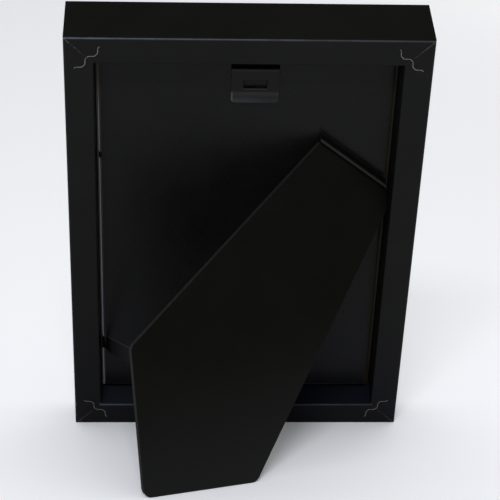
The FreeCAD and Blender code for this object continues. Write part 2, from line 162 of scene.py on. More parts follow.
def dress(made, *materials):
    """Gives the piece these materials in place of the ones it has."""
    made.data.materials.clear()
    for material in materials:
        made.data.materials.append(material)


def even_steps(start, end, count):
    return [start + (end - start) * i / count for i in range(count + 1)]


def grid_faces(rows, columns):
    """The quads of a grid whose points are listed row by row."""
    return [(a, a + 1, a + columns + 1, a + columns)
            for r in range(rows - 1) for a in range(r * columns, (r + 1) * columns - 1)]


# Node trees

class Tree:
    """A node tree with short calls for its nodes. Most of them give the new node's output."""

    def __init__(self, node_tree):
        self.node_tree = node_tree

    def feed(self, socket, value):
        """Links an input to an output, or gives it a constant."""
        if isinstance(value, bpy.types.NodeSocket):
            self.node_tree.links.new(value, socket)
        else:
            socket.default_value = value

    def node(self, kind, links=None, **settings):
        made = self.node_tree.nodes.new(kind)
        for key, value in settings.items():
            setattr(made, key, value)
        for key, value in (links or {}).items():
            self.feed(made.inputs[key], value)
        return made

    def math(self, operation, *values, clamp=False):
        made = self.node("ShaderNodeMath", operation=operation, use_clamp=clamp)
        for socket, value in zip(made.inputs, values):
            self.feed(socket, value)
        return made.outputs[0]

    def plus(self, first, second):
        return self.math("ADD", first, second)

    def minus(self, first, second):
        return self.math("SUBTRACT", first, second)

    def times(self, first, second):
        return self.math("MULTIPLY", first, second)

    def least(self, first, second):
        return self.math("MINIMUM", first, second)

    def most(self, first, second):
        return self.math("MAXIMUM", first, second)

    def size(self, value):
        """A value without its sign."""
        return self.math("ABSOLUTE", value)

    def apart(self, first, second):
        """How far two values are from each other."""
        return self.size(self.minus(first, second))

    def span(self, value, low, high, to_low=0.0, to_high=1.0, kind="SMOOTHSTEP"):
        """A value carried from the range low to high onto another range, and held at its ends."""
        made = self.node("ShaderNodeMapRange", interpolation_type=kind)
        for socket, number in zip(made.inputs, (value, low, high, to_low, to_high)):
            self.feed(socket, number)
        return made.outputs[0]

    def mix(self, share, first, second):
        """The first colour, with a share of the second."""
        made = self.node("ShaderNodeMix", data_type="RGBA")
        self.feed(made.inputs[0], share)
        self.feed(made.inputs[6], first)
        self.feed(made.inputs[7], second)
        return made.outputs[2]

    def noise(self, place, scale, detail=3.0, roughness=0.55):
        links = {"Vector": place, "Scale": scale, "Detail": detail, "Roughness": roughness}
        return self.node("ShaderNodeTexNoise", links).outputs["Fac"]

    def stretch(self, place, x, y, z):
        return self.node("ShaderNodeVectorMath", {0: place, 1: (x, y, z)}, operation="MULTIPLY").outputs[0]

    def parts(self, place):
        return self.node("ShaderNodeSeparateXYZ", {0: place}).outputs

    def own_place(self):
        """The piece's own coordinates, in metres."""
        return self.node("ShaderNodeTexCoord").outputs["Object"]

    def drawing(self):
        """The upright drawing's coordinates in millimetres, from the piece's own."""
        shift, turn, scale = TO_DRAWING.decompose()
        links = {"Vector": self.own_place(), "Location": shift, "Rotation": turn.to_euler(), "Scale": scale}
        return self.node("ShaderNodeMapping", links).outputs[0]


class Surface(Tree):
    """A new material's node tree with its one Principled shader."""

    def __init__(self, name, **constants):
        self.material = bpy.data.materials.new(name)
        self.material.use_nodes = True
        super().__init__(self.material.node_tree)
        self.shader = self.node_tree.nodes["Principled BSDF"]
        for key, value in constants.items():
            self.shader.inputs[key.replace("_", " ")].default_value = value

    def set(self, name, value):
        self.feed(self.shader.inputs[name], value)

    def bump(self, height, distance, strength):
        """Gives the surface a relief, its distance in metres."""
        links = {"Height": height, "Distance": distance, "Strength": strength}
        self.set("Normal", self.node("ShaderNodeBump", links).outputs[0])


def grey(value, warm=0.0):
    """A near-neutral linear colour; warm above zero leans to olive, below zero to blue."""
    return (value * (1 + 0.6 * warm), value * (1 + 0.5 * warm), value * (1 - warm), 1)


# Materials

def mitre_filler(tree, place, inset_x, inset_z, y):
    """How much filler shows in the open mitre, widest at the outer corner, rubbed away at the rebate."""
    inset = tree.least(inset_x, inset_z)
    wander = tree.times(tree.minus(tree.noise(place, 0.9, 2), 0.5), 0.5)
    off_mitre = tree.size(tree.plus(tree.apart(inset_x, inset_z), wander))
    line_width = tree.span(inset, 0.0, 9.0, 0.52, 0.20, "LINEAR")
    line = tree.math("SUBTRACT", 1.0, tree.math("DIVIDE", off_mitre, line_width), clamp=True)
    back_face = tree.span(y, -0.5, -0.05)
    broken = tree.span(tree.noise(place, 1.3, 4, 0.65), 0.42, 0.55, 0.08, 1.0)
    outer_part = tree.span(inset, 6.0, 9.4, 1.0, 0.25)
    return tree.times(tree.times(line, back_face), tree.times(broken, outer_part))


def lacquered_wood(name, upright):
    """Black lacquer over sanded wood: grain along the rail, filler in the mitres, painted arris highlights.
    """
    tree = Surface(name)
    place = tree.drawing()
    x, y, z = tree.parts(place)
    depth = tree.times(y, -1.0)
    inset_x = tree.minus(HALF_WIDTH, tree.size(x))
    inset_z = tree.least(z, tree.minus(HEIGHT, z))
    inset = tree.least(inset_x, inset_z)
    from_arris = tree.plus(inset, depth)
    from_rebate = tree.plus(tree.apart(inset, RAIL), depth)
    # how far from the frame's top or the rebate's floor, which face up
    from_level = tree.least(tree.apart(z, HEIGHT), tree.apart(z, RAIL))
    cloud = tree.noise(place, 0.045, 3)

    colour = tree.mix(tree.span(cloud, 0.35, 0.7), grey(0.0026, 0.07), grey(0.0037, 0.05))
    # painted light: the lacquer bluer toward the lower end, where the cool light falls
    colour = tree.mix(tree.span(z, 60.0, 8.0), colour, grey(0.0032, -0.22))
    filler_colour = tree.mix(tree.span(inset, 1.5, 7.0), (0.056, 0.048, 0.029, 1), (0.026, 0.024, 0.018, 1))
    colour = tree.mix(mitre_filler(tree, place, inset_x, inset_z, y), colour, filler_colour)
    # the outer arris rubbed in places
    patches = tree.span(tree.noise(place, 0.55, 4, 0.7), 0.60, 0.72)
    rubbed = tree.times(tree.span(from_arris, 0.55, 0.15), patches)
    colour = tree.mix(tree.times(rubbed, 0.55), colour, grey(0.045, 0.10))
    # painted shade: the rebate's arris black where it doesn't face up
    rebate_arris_shade = tree.times(tree.span(from_rebate, 0.55, 0.30), tree.span(from_level, 1.0, 1.6))
    colour = tree.mix(tree.times(rebate_arris_shade, 0.8), colour, grey(0.0015))
    # painted light: the rebate's floor, which faces up, lighter and bluer, most to the right
    on_floor = tree.times(tree.span(tree.apart(z, RAIL), 0.25, 0.10), tree.span(y, -0.4, -0.7))
    lit_rebate_floor_colour = tree.mix(tree.span(x, 0.0, 50.0), (0.0048, 0.0055, 0.0085, 1), (0.0085, 0.0094, 0.0125, 1))
    tree.set("Base Color", tree.mix(on_floor, colour, lit_rebate_floor_colour))

    # painted highlight: the arrises that face up glossier and tinted blue, most at the right
    arris_highlight_share = tree.times(tree.span(x, -55.0, 60.0, 0.40, 1.0, "LINEAR"),
                         tree.span(tree.noise(place, 0.16, 3), 0.3, 0.6, 0.6, 1.0))
    near_arris = tree.span(tree.least(from_arris, from_rebate), 0.75, 0.45)
    arris_highlight = tree.times(tree.span(from_level, 1.0, 0.6), tree.times(near_arris, arris_highlight_share))
    plain_level = tree.span(z, 0.0, 60.0, 0.084, 0.103)
    tree.set("Specular IOR Level", tree.plus(plain_level, tree.times(arris_highlight, 0.60)))
    tree.set("Specular Tint", tree.mix(arris_highlight, (1, 1, 1, 1), (0.62, 0.74, 1.0, 1)))

    grain_stretch = (1.1, 1.1, 0.045) if upright else (0.045, 1.1, 1.1)
    grain = tree.noise(tree.stretch(place, *grain_stretch), 1.6, 5, 0.6)
    fine = tree.noise(place, 2.4, 2)
    uneven = tree.plus(tree.times(grain, 0.6), tree.times(cloud, 0.4))
    tree.set("Roughness", tree.span(uneven, 0.3, 0.7, 0.40, 0.52, "LINEAR"))
    tree.bump(tree.plus(tree.times(grain, 0.75), tree.times(fine, 0.25)), 0.00005, 0.9)
    return tree.material


def above_hinge_line(tree, place):
    """How far a place lies above the strut's scored hinge line, square to it."""
    run = HINGE_HIGH - HINGE_LOW
    x, y, z = tree.parts(place)
    return tree.minus(tree.times(tree.minus(z, HINGE_LOW.z), run.x / run.length),
                      tree.times(tree.minus(x, HINGE_LOW.x), run.z / run.length))


def grained_paper(name, tone, warm, rough, level, foot=None, crease=None, far=None):
    """Black covering paper with a fine pebbled grain.

    Foot is a multiple of the tone and a warmth: painted light, the paper lighter toward its lower end.
    Crease and far are ranges above the hinge line where painted shade makes the paper black, less glossy."""
    tree = Surface(name)
    place = tree.drawing()
    small = tree.noise(place, 3.2, 3, 0.6)
    cloud = tree.noise(place, 0.05, 3)
    colour = tree.mix(tree.span(cloud, 0.3, 0.7), grey(tone * 0.85, warm), grey(tone * 1.15, warm))
    colour = tree.mix(tree.span(small, 0.62, 0.8, 0.0, 0.5), colour, grey(tone * 2.2, warm))
    if foot:
        # painted light: the paper lighter toward its lower end
        lit_foot_times, lit_foot_warm = foot
        low = tree.span(tree.parts(place)[2], 80.0, 5.0)
        colour = tree.mix(low, colour, grey(tone * lit_foot_times, lit_foot_warm))
    if crease:
        # painted shade: black and less glossy at the scored crease and at the strip's far end
        above = above_hinge_line(tree, place)
        hinge_shade = tree.span(above, *crease)
        if far:
            hinge_shade = tree.most(hinge_shade, tree.span(above, *far))
        colour = tree.mix(hinge_shade, colour, grey(0.0012))
        level = tree.span(hinge_shade, 0.0, 1.0, level, 0.02, "LINEAR")
    tree.set("Specular IOR Level", level)
    tree.set("Base Color", colour)
    uneven = tree.plus(small, tree.times(cloud, 0.5))
    tree.set("Roughness", tree.span(uneven, 0.5, 1.0, rough - 0.05, rough + 0.06, "LINEAR"))
    pebble_links = {"Vector": place, "Scale": 1.9}
    pebble = tree.node("ShaderNodeTexVoronoi", pebble_links, feature="F1").outputs["Distance"]
    thread = tree.noise(tree.stretch(place, 5.5, 5.5, 0.6), 1.0, 2)
    relief = tree.plus(tree.times(pebble, 0.6), tree.plus(tree.times(small, 0.5), tree.times(thread, 0.3)))
    tree.bump(relief, 0.00006, 0.8)
    return tree.material


def board_edges_marked_and_lit(tree, place, colour, fibre, smudge):
    """The board's edges: the right one bare, in painted light, with a dark mark; the others in painted shade.
    """
    dark_mark_z = 119.2
    x, y, z = tree.parts(place)
    right = tree.span(x, BOARD_RIGHT - 2.2, BOARD_RIGHT - 1.2)
    # painted shade: the edges other than the right one darkened
    colour = tree.mix(right, tree.mix(0.8, colour, (0.020, 0.017, 0.010, 1)), colour)
    # the right edge's bare card in streaks, its blue tint painted light
    streaks = tree.noise(tree.stretch(place, 1.0, 1.0, 0.12), 0.8, 3)
    cut = tree.mix(tree.span(streaks, 0.3, 0.7), (0.220, 0.225, 0.265, 1), (0.290, 0.295, 0.345, 1))
    colour = tree.mix(tree.times(right, tree.span(smudge, 0.70, 0.56, 0.45, 1.0)), colour, cut)
    # painted light: the bevel's outer part is lightest, and bluer lower down
    outer_light_tone = tree.mix(tree.span(z, 105.0, 65.0), (0.305, 0.303, 0.290, 1), (0.410, 0.420, 0.485, 1))
    outer_part = tree.span(y, -BOARD_OUT - 0.52, -BOARD_OUT - 0.72)
    colour = tree.mix(tree.times(outer_part, right), colour, outer_light_tone)
    # painted shade: darker and warmer toward the top
    colour = tree.mix(tree.times(tree.span(z, 134.0, 150.0), right), colour, (0.128, 0.122, 0.096, 1))
    # the paper's black smears over the inner part of the bevel, and painted shade darkens the left edge
    smeared = tree.times(tree.span(y, -BOARD_OUT - 0.62, -BOARD_OUT - 0.46), right)
    colour = tree.mix(smeared, colour, (0.042, 0.041, 0.046, 1))
    colour = tree.mix(tree.span(x, -46.0, -49.0), colour, (0.020, 0.016, 0.009, 1))
    # a short dark mark across the right edge
    ragged = tree.times(tree.minus(fibre, 0.5), 0.8)
    from_dark_mark = tree.plus(tree.apart(z, dark_mark_z), ragged)
    dark_mark = tree.times(tree.span(from_dark_mark, 1.5, 1.1), tree.span(x, 45.0, 46.0))
    return tree.mix(dark_mark, colour, grey(0.004))


def raw_board(name, light, edge_marks_and_light=False):
    """Cut greyboard: layered fibres, smudged with black in patches."""
    tree = Surface(name, Specular_IOR_Level=0.1, Roughness=0.85)
    place = tree.drawing()
    layers = tree.noise(tree.stretch(place, 0.5, 7.0, 0.5), 1.0, 4, 0.65)
    fibre = tree.noise(place, 4.5, 4, 0.7)
    smudge = tree.noise(place, 0.35, 4, 0.6)
    colour = tree.mix(tree.span(layers, 0.35, 0.65), grey(light * 0.72, 0.05), grey(light * 1.15, 0.02))
    colour = tree.mix(tree.span(fibre, 0.55, 0.75, 0.0, 0.5), colour, grey(light * 0.4, 0.08))
    colour = tree.mix(tree.span(smudge, 0.56, 0.70, 0.0, 0.80), colour, grey(0.010, 0.02))
    if edge_marks_and_light:
        colour = board_edges_marked_and_lit(tree, place, colour, fibre, smudge)
    tree.set("Base Color", colour)
    tree.bump(tree.plus(layers, tree.times(fibre, 0.6)), 0.00009, 0.9)
    return tree.material


def catch_painted_light(tree, place, colour):
    """The catch's painted light: at its upper bend, round its window, on its right rim, and on and above its
    finger.
    """
    x, y, z = tree.parts(place)
    depth = tree.times(y, -1.0)
    plate_right = LATCH_X + PLATE_HALF
    off_middle = tree.size(tree.plus(x, -LATCH_X))
    # painted highlight: the upper bend lighter and warm
    bend = tree.times(tree.span(tree.apart(z, LATCH_BEND + 0.15), 0.42, 0.22), tree.span(depth, 9.5, 9.2))
    colour = tree.mix(bend, colour, (0.026, 0.025, 0.019, 1))
    # painted light: the inward-bent tongue lighter
    between_slits = tree.span(off_middle, TONGUE_HALF + 0.05, TONGUE_HALF - 0.05)
    window_height = tree.times(tree.span(z, WINDOW_FOOT - 0.1, WINDOW_FOOT + 0.4),
                               tree.span(z, TONGUE_ROOT, TONGUE_ROOT - 0.6))
    tongue = tree.times(tree.times(between_slits, window_height), tree.span(depth, 8.58, 8.75))
    colour = tree.mix(tongue, colour, (0.0055, 0.0055, 0.0050, 1))
    # painted highlight: a light line below the window
    sill = tree.times(tree.span(tree.apart(z, WINDOW_FOOT - 0.18), 0.22, 0.10),
                      tree.span(off_middle, SLIT_HALF + 0.15, SLIT_HALF - 0.05))
    colour = tree.mix(sill, colour, (0.017, 0.017, 0.016, 1))
    # painted light: the finger lighter and bluer, most to the right
    finger = tree.times(tree.span(z, FINGER_BEND + 0.1, FINGER_BEND - 2.4), tree.span(x, -9.0, 4.0, 0.4, 1.0))
    colour = tree.mix(tree.times(finger, 0.8), colour, (0.0175, 0.0205, 0.0240, 1))
    # painted light: a lighter, warm band above the finger's bend
    above_finger = tree.times(tree.span(z, FINGER_BEND - 0.7, FINGER_BEND + 0.4),
                              tree.span(z, FINGER_BEND + 1.6, FINGER_BEND + 0.7))
    colour = tree.mix(tree.times(above_finger, 0.8), colour, (0.0150, 0.0145, 0.0115, 1))
    # painted highlight: the plate's right rim above the finger
    right_rim = tree.times(tree.span(x, plate_right - 0.9, plate_right - 0.15),
                           tree.span(z, FINGER_BEND + 1.7, FINGER_BEND + 0.2))
    return tree.mix(tree.times(right_rim, 0.8), colour, (0.048, 0.048, 0.043, 1))


def enamel(name):
    """Black baked enamel on sheet steel, scratched, with painted light at its bends, window and finger."""
    tree = Surface(name, Specular_IOR_Level=0.135)
    place = tree.drawing()
    cloud = tree.noise(place, 0.5, 4, 0.6)
    fine = tree.noise(place, 7.0, 3, 0.6)
    scratch = tree.noise(tree.stretch(place, 0.25, 3.0, 4.5), 1.4, 3, 0.6)
    colour = tree.mix(tree.span(cloud, 0.35, 0.7), grey(0.0016, 0.03), grey(0.0026, 0.03))
    colour = tree.mix(tree.span(scratch, 0.64, 0.74, 0.0, 0.35), colour, grey(0.03))
    tree.set("Base Color", catch_painted_light(tree, place, colour))
    tree.set("Roughness", tree.span(tree.plus(cloud, scratch), 0.8, 1.25, 0.30, 0.44, "LINEAR"))
    tree.bump(tree.plus(tree.times(fine, 0.6), tree.times(cloud, 0.8)), 0.00004, 0.7)
    return tree.material


def bare_steel(name, tone, rough, painted):
    """Drawn steel with brush lines, partly painted over."""
    tree = Surface(name, Specular_IOR_Level=0.5)
    place = tree.drawing()
    patch = tree.noise(place, 0.9, 4, 0.65)
    lines = tree.noise(tree.stretch(place, 6.0, 1.0, 6.0), 1.2, 3)
    paint = tree.times(tree.span(patch, 0.50, 0.62), painted)
    colour = tree.mix(tree.span(lines, 0.3, 0.7), grey(tone * 0.75, 0.10), grey(tone * 1.2, 0.08))
    tree.set("Base Color", tree.mix(paint, colour, grey(0.010)))
    tree.set("Metallic", tree.minus(1.0, tree.times(paint, 0.9)))
    tree.set("Roughness", tree.span(patch, 0.3, 0.7, rough - 0.06, rough + 0.10, "LINEAR"))
    tree.bump(lines, 0.00003, 0.6)
    return tree.material


def woven_ribbon(name):
    """Black woven ribbon with cross ribs, a painted highlight on its raised edge, by its own length and
    width.
    """
    tree = Surface(name, Specular_IOR_Level=0.5, IOR=1.08, Roughness=0.8)
    rib_pitch = 0.42
    warp_pitch = 0.30
    flat = tree.node("ShaderNodeUVMap", uv_map="weave").outputs[0]
    along, across, _ = tree.parts(flat)
    rib = tree.math("SINE", tree.times(along, 2 * math.pi / rib_pitch))
    warp = tree.math("SINE", tree.times(across, 2 * math.pi / warp_pitch))
    weave = tree.times(rib, tree.plus(tree.times(warp, 0.4), 0.6))
    uneven = tree.noise(tree.stretch(flat, 0.6, 2.0, 1.0), 1.0, 3)
    # painted highlight: the ribbon's upper edge lighter, and raised in the relief
    selvage_and_highlight = tree.span(across, 2.55, 2.68)
    colour = tree.mix(tree.span(weave, -1.0, 1.0), grey(0.0020, -0.03), grey(0.0060, -0.06))
    colour = tree.mix(tree.times(uneven, 0.35), colour, grey(0.0040))
    tree.set("Base Color", tree.mix(selvage_and_highlight, colour, grey(0.030, -0.06)))
    tree.bump(tree.plus(weave, tree.times(selvage_and_highlight, 1.2)), 0.00005, 0.8)
    return tree.material


def clear_glass(name):
    """Clear glass with a little dust."""
    tree = Surface(name, Roughness=0.0, IOR=1.5, Transmission_Weight=1.0, Specular_IOR_Level=0.5)
    dust = tree.noise(tree.drawing(), 1.2, 4, 0.7)
    tree.set("Base Color", tree.mix(tree.span(dust, 0.4, 0.8), (0.97, 0.99, 0.98, 1), (0.93, 0.96, 0.95, 1)))
    tree.set("Roughness", tree.span(dust, 0.55, 0.8, 0.0, 0.06))
    return tree.material


def plain_card(name):
    """Unprinted card for the picture's place: white coated face, brown kraft back."""
    tree = Surface(name, Specular_IOR_Level=0.3)
    place = tree.drawing()
    x, y, z = tree.parts(place)
    tooth = tree.noise(place, 3.0, 4, 0.6)
    cloud = tree.noise(place, 0.04, 3)
    colour = tree.mix(tree.span(cloud, 0.3, 0.7), (0.70, 0.69, 0.66, 1), (0.76, 0.75, 0.72, 1))
    colour = tree.mix(tree.span(tooth, 0.6, 0.8, 0.0, 0.25), colour, (0.64, 0.63, 0.60, 1))
    reverse = tree.span(tree.times(y, -1.0), CARD_FACE - 0.02, CARD_FACE - 0.06, 0.0, 1.0, "LINEAR")
    # painted light and shade: the kraft back lighter to the right and near black to the left
    kraft = tree.mix(tree.span(x, -40.0, 45.0), (0.014, 0.012, 0.007, 1), (0.100, 0.086, 0.052, 1))
    tree.set("Base Color", tree.mix(reverse, colour, kraft))
    tree.set("Roughness", tree.span(tooth, 0.3, 0.7, 0.50, 0.62, "LINEAR"))
    tree.bump(tooth, 0.00003, 0.5)
    return tree.material


def dark_glue(name):
    """Glue in lumps, dark."""
    tree = Surface(name, Specular_IOR_Level=0.3)
    lumps = tree.noise(tree.drawing(), 1.4, 4, 0.65)
    tree.set("Base Color", tree.mix(tree.span(lumps, 0.35, 0.7), grey(0.006, 0.03), grey(0.018, 0.05)))
    tree.set("Roughness", tree.span(lumps, 0.3, 0.7, 0.45, 0.75, "LINEAR"))
    tree.bump(lumps, 0.00010, 0.8)
    return tree.material


MATERIALS = {
    "rail_upright": lacquered_wood("lacquered_wood_upright", True),
    "rail_across": lacquered_wood("lacquered_wood_across", False),
    "nail": bare_steel("nail_steel", 0.19, 0.45, 0.70),
    # painted shade: dark steel for the spring, which shows only in shade under the catch's window
    "spring": bare_steel("spring_steel", 0.030, 0.45, 0.6),
    "glass": clear_glass("clear_glass"),
    "card": plain_card("plain_card"),
    "board": raw_board("board_raw_edge", 0.62, edge_marks_and_light=True),
    # painted light: the board's paper lighter and bluer toward its lower end
    "board_paper": grained_paper("board_paper", 0.0030, 0.06, 0.28, 0.115, foot=(1.95, -0.12)),
    "strut_board": raw_board("strut_raw_edge", 0.013),
    "strip_board": grained_paper("strip_board_black", 0.0022, 0.02, 0.80, 0.04),
    # painted light and shade: the strut's paper lighter toward its lower end, and black at the crease
    "strut_paper": grained_paper("strut_paper", 0.0024, 0.24, 0.60, 0.032, foot=(4.6, 0.0),
                                 crease=(-0.80, -0.45)),
    # painted light: the strip's paper a lighter, golden copy of the black paper, with painted shade at both
    # ends
    "lit_hinge_paper": grained_paper("lit_hinge_paper", 0.0075, 0.30, 0.45, 0.14, crease=(0.35, 0.15),
                                 far=(0.95, 1.35)),
    # painted shade: the paper in the crease darker than the strut's
    "crease": grained_paper("shaded_crease_paper", 0.0014, 0.02, 0.90, 0.02),
    "enamel": enamel("black_enamel"),
    # painted shade: the catch's nose, black and less glossy
    "nose": grained_paper("shaded_nose_black", 0.0012, 0.00, 0.90, 0.02),
    "ribbon": woven_ribbon("woven_ribbon"),
    "glue": dark_glue("dark_glue"),
}

NODE_MATERIALS = {
    "rail_top": "rail_across", "rail_bottom": "rail_across",
    "rail_left": "rail_upright", "rail_right": "rail_upright",
    "corner_fastener_top_left": "nail", "corner_fastener_top_right": "nail",
    "corner_fastener_bottom_left": "nail", "corner_fastener_bottom_right": "nail",
    "glass_pane": "glass", "photo_insert": "card",
    "back_board_core": "board", "back_board_cover": "board_paper",
    "seat_prong_left": "spring", "seat_prong_right": "spring",
    "latch_plate": "enamel", "latch_spring": "spring",
    "hinge_glue": "glue", "hinge_strip_core": "strip_board", "hinge_strip_cover": "lit_hinge_paper",
    "strut_cover": "strut_paper", "strut_core": "strut_board", "strut_lining": "strut_paper",
    "ribbon_strut_tail": "ribbon", "ribbon_board_tail": "ribbon", "ribbon_stay": "ribbon",
}


# Lines that the bent and woven pieces follow

def rounded_path(corners, radii, steps=6):
    """A polyline with its inner corners turned into arcs."""
    out = [Vector(corners[0])]
    for before, corner, after, radius in zip(corners, corners[1:], corners[2:], radii):
        here = Vector(corner)
        back = (Vector(before) - here).normalized()
        ahead = (Vector(after) - here).normalized()
        half = back.angle(ahead) / 2
        reach = radius / math.tan(half)
        centre = here + (back + ahead).normalized() * (radius / math.sin(half))
        first = here + back * reach - centre
        last = here + ahead * reach - centre
        out.extend(centre + (first.lerp(last, t)).normalized() * radius for t in even_steps(0, 1, steps))
    out.append(Vector(corners[-1]))
    return out


def resample(path, marks, gap):
    """Points along a path no farther apart than a gap, with a point at each marked second coordinate."""
    out = []
    for a, b in zip(path, path[1:]):
        cuts = sorted((m - a[1]) / (b[1] - a[1]) for m in marks
                      if min(a[1], b[1]) < m < max(a[1], b[1]))
        stops = [0.0] + cuts
        for low, high in zip(stops, stops[1:] + [1.0]):
            count = max(1, math.ceil((b - a).length * (high - low) / gap))
            out.extend(a.lerp(b, low + (high - low) * i / count) for i in range(count))
    out.append(path[-1])
    return out


def smooth_line(points, steps):
    """A Catmull-Rom line through the points."""
    padded = [points[0]] + list(points) + [points[-1]]
    out = []
    for a, b, c, d in zip(padded, padded[1:], padded[2:], padded[3:]):
        for i in range(steps):
            t = i / steps
            out.append((b * 2 + (c - a) * t + (a * 2 - b * 5 + c * 4 - d) * t * t
                        + (b * 3 - a - c * 3 + d) * t ** 3) * 0.5)
    out.append(Vector(points[-1]))
    return out


# Catch of bent sheet

def catch_rows():
    """The sheet's middle line as pairs of depth and z, from the finger's end up to the nose's top."""
    finger_end = (PLATE_DEPTH - FINGER_LENGTH * math.sin(FINGER_ANGLE),
                  FINGER_BEND - FINGER_LENGTH * math.cos(FINGER_ANGLE))
    corners = [finger_end, (PLATE_DEPTH, FINGER_BEND), (PLATE_DEPTH, LATCH_BEND), (NOSE_DEPTH, LATCH_BEND),
               (NOSE_DEPTH, NOSE_TOP)]
    radii = [1.3, 0.55, 0.55]
    longest = 0.35
    return resample(rounded_path(corners, radii), (WINDOW_FOOT, TONGUE_ROOT, EAR_FOOT, EAR_TOP), longest)


def sheet_points(rows, columns):
    """The sheet's points row by row, with the finger's two corners rounded off."""
    points = []
    run = 0.0
    for k, (depth, z) in enumerate(rows):
        if k:
            run += (rows[k] - rows[k - 1]).length
        to_end = max(0.0, FINGER_CORNER - run)
        cut = FINGER_CORNER - math.sqrt(FINGER_CORNER ** 2 - to_end ** 2)
        shrink = (PLATE_HALF - cut) / PLATE_HALF
        points.extend((x * shrink, depth, z) for x in columns)
    return points


def sheet_faces(rows, columns):
    """The sheet's faces round its window."""
    def in_window(corner):
        row, column = divmod(corner, len(columns))
        high_enough = rows[row][1] > WINDOW_FOOT - SAME
        low_enough = rows[row + 1][1] < TONGUE_ROOT + SAME
        return high_enough and low_enough and -SLIT_HALF - SAME < columns[column] < SLIT_HALF - SAME

    return [quad for quad in grid_faces(len(rows), len(columns)) if not in_window(quad[0])]


def add_ears(points, faces, rows, columns):
    """The nose's two ears, out from its sides."""
    for sign, edge in ((-1, 0), (1, len(columns) - 1)):
        last = None
        for r, (depth, z) in enumerate(rows):
            if EAR_FOOT - SAME < z < EAR_TOP + SAME:
                strip = [r * len(columns) + edge]
                for x in even_steps(PLATE_HALF, EAR_HALF, 3)[1:]:
                    strip.append(len(points))
                    points.append((sign * x, NOSE_DEPTH, z))
                if last:
                    for i in range(3):
                        quad = (last[i], last[i + 1], strip[i + 1], strip[i])
                        faces.append(quad if sign > 0 else quad[::-1])
                last = strip


def add_tongue(points, faces, rows, columns, across):
    """The tongue, which bends in from its root at the window's top."""
    radius, steps = 0.7, 14
    root_row = min(range(len(rows)), key=lambda r: abs(rows[r][1] - TONGUE_ROOT))
    first = root_row * len(columns) + (len(columns) - len(across)) // 2
    last = [first + c for c in range(len(across))]
    for run in even_steps(0.0, TONGUE_LENGTH, steps)[1:]:
        bent = min(run / radius, TONGUE_ANGLE)
        straight = max(0.0, run - radius * TONGUE_ANGLE)
        depth = PLATE_DEPTH + radius * (1 - math.cos(bent)) + straight * math.sin(TONGUE_ANGLE)
        z = TONGUE_ROOT - radius * math.sin(bent) - straight * math.cos(TONGUE_ANGLE)
        strip = [len(points) + c for c in range(len(across))]
        points.extend((x, depth, z) for x in across)
        faces.extend((strip[c], strip[c + 1], last[c + 1], last[c]) for c in range(len(across) - 1))
        last = strip


def make_catch():
    """The sheet's middle surface, given its thickness and eased edges, its nose painted black as shade."""
    rows = catch_rows()
    across_tongue = even_steps(-TONGUE_HALF, TONGUE_HALF, 10)
    beside = even_steps(SLIT_HALF, PLATE_HALF, 7)
    columns = [-x for x in reversed(beside)] + across_tongue + beside
    points = sheet_points(rows, columns)
    faces = sheet_faces(rows, columns)
    add_ears(points, faces, rows, columns)
    add_tongue(points, faces, rows, columns, across_tongue)
    eased = 0.09
    made = mesh_from("latch_sheet", [put(x + LATCH_X, depth, z) for x, depth, z in points], faces)
    modifier(made, "SOLIDIFY", thickness=SHEET * MM, offset=0.0, use_even_offset=True)
    modifier(made, "BEVEL", width=eased * MM, segments=2, limit_method="ANGLE",
             angle_limit=math.radians(50))
    settle(made)
    made.data.set_sharp_from_angle(angle=math.radians(35))
    dress(made, MATERIALS["enamel"], MATERIALS["nose"])
    # painted shade: black from the step inward, above the tongue
    step_depth, above_tongue = 9.55, 153.0
    for face in made.data.polygons:
        face.use_smooth = True
        here = TO_DRAWING @ face.center
        face.material_index = 1 if -here.y > step_depth and here.z > above_tongue else 0
    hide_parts("latch_plate")
    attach(made, "catch")


# Small spring, which the catch presses together

def make_spring():
    """The drawn spring's own shape, copied into a piece of its own."""
    made = new_object("spring_wire", nodes["latch_spring"].data.copy())
    dress(made, MATERIALS["spring"])
    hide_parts("latch_spring")
    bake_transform(made)


# Card for the picture's place, a hair off the glass

def make_card():
    half = HALF_WIDTH - RAIL - PANE_GAP
    foot = RAIL + PANE_GAP
    top = HEIGHT - RAIL - PANE_GAP
    outline = ((-half, foot), (half, foot), (half, top), (-half, top))
    points = [put(x, depth, z) for depth in (CARD_BACK, CARD_FACE) for x, z in outline]
    faces = [(0, 1, 2, 3), (7, 6, 5, 4), (0, 4, 5, 1), (1, 5, 6, 2), (2, 6, 7, 3), (3, 7, 4, 0)]
    made = mesh_from("picture_card", points, faces, smooth=False)
    face_outward(made)
    dress(made, MATERIALS["card"])
    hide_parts("photo_insert")
    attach(made, "frame")


# Corrugated nails with rounded waves: each corner's side and level, and the nail's turn

CORNERS = {
    "top_left": (-1, 1, -135), "top_right": (1, 1, 135),
    "bottom_left": (-1, -1, -45), "bottom_right": (1, -1, 45),
}


def nail_wave():
    """The nail's line: two waves, each turn with a short flat and two shoulders."""
    wave = [(-0.5, -0.5)]
    for turn in range(-2, 3):
        level = 0.5 if turn % 2 else -0.5
        for off, share in ((-0.075, 0.76), (-0.045, 1.0), (0.045, 1.0), (0.075, 0.76)):
            place = turn / 4 + off
            if abs(place) < 0.5:
                wave.append((place, level * share))
    wave.append((0.5, -0.5))
    return smooth_line([Vector((place * NAIL_LENGTH, level * NAIL_RISE)) for place, level in wave], 5)


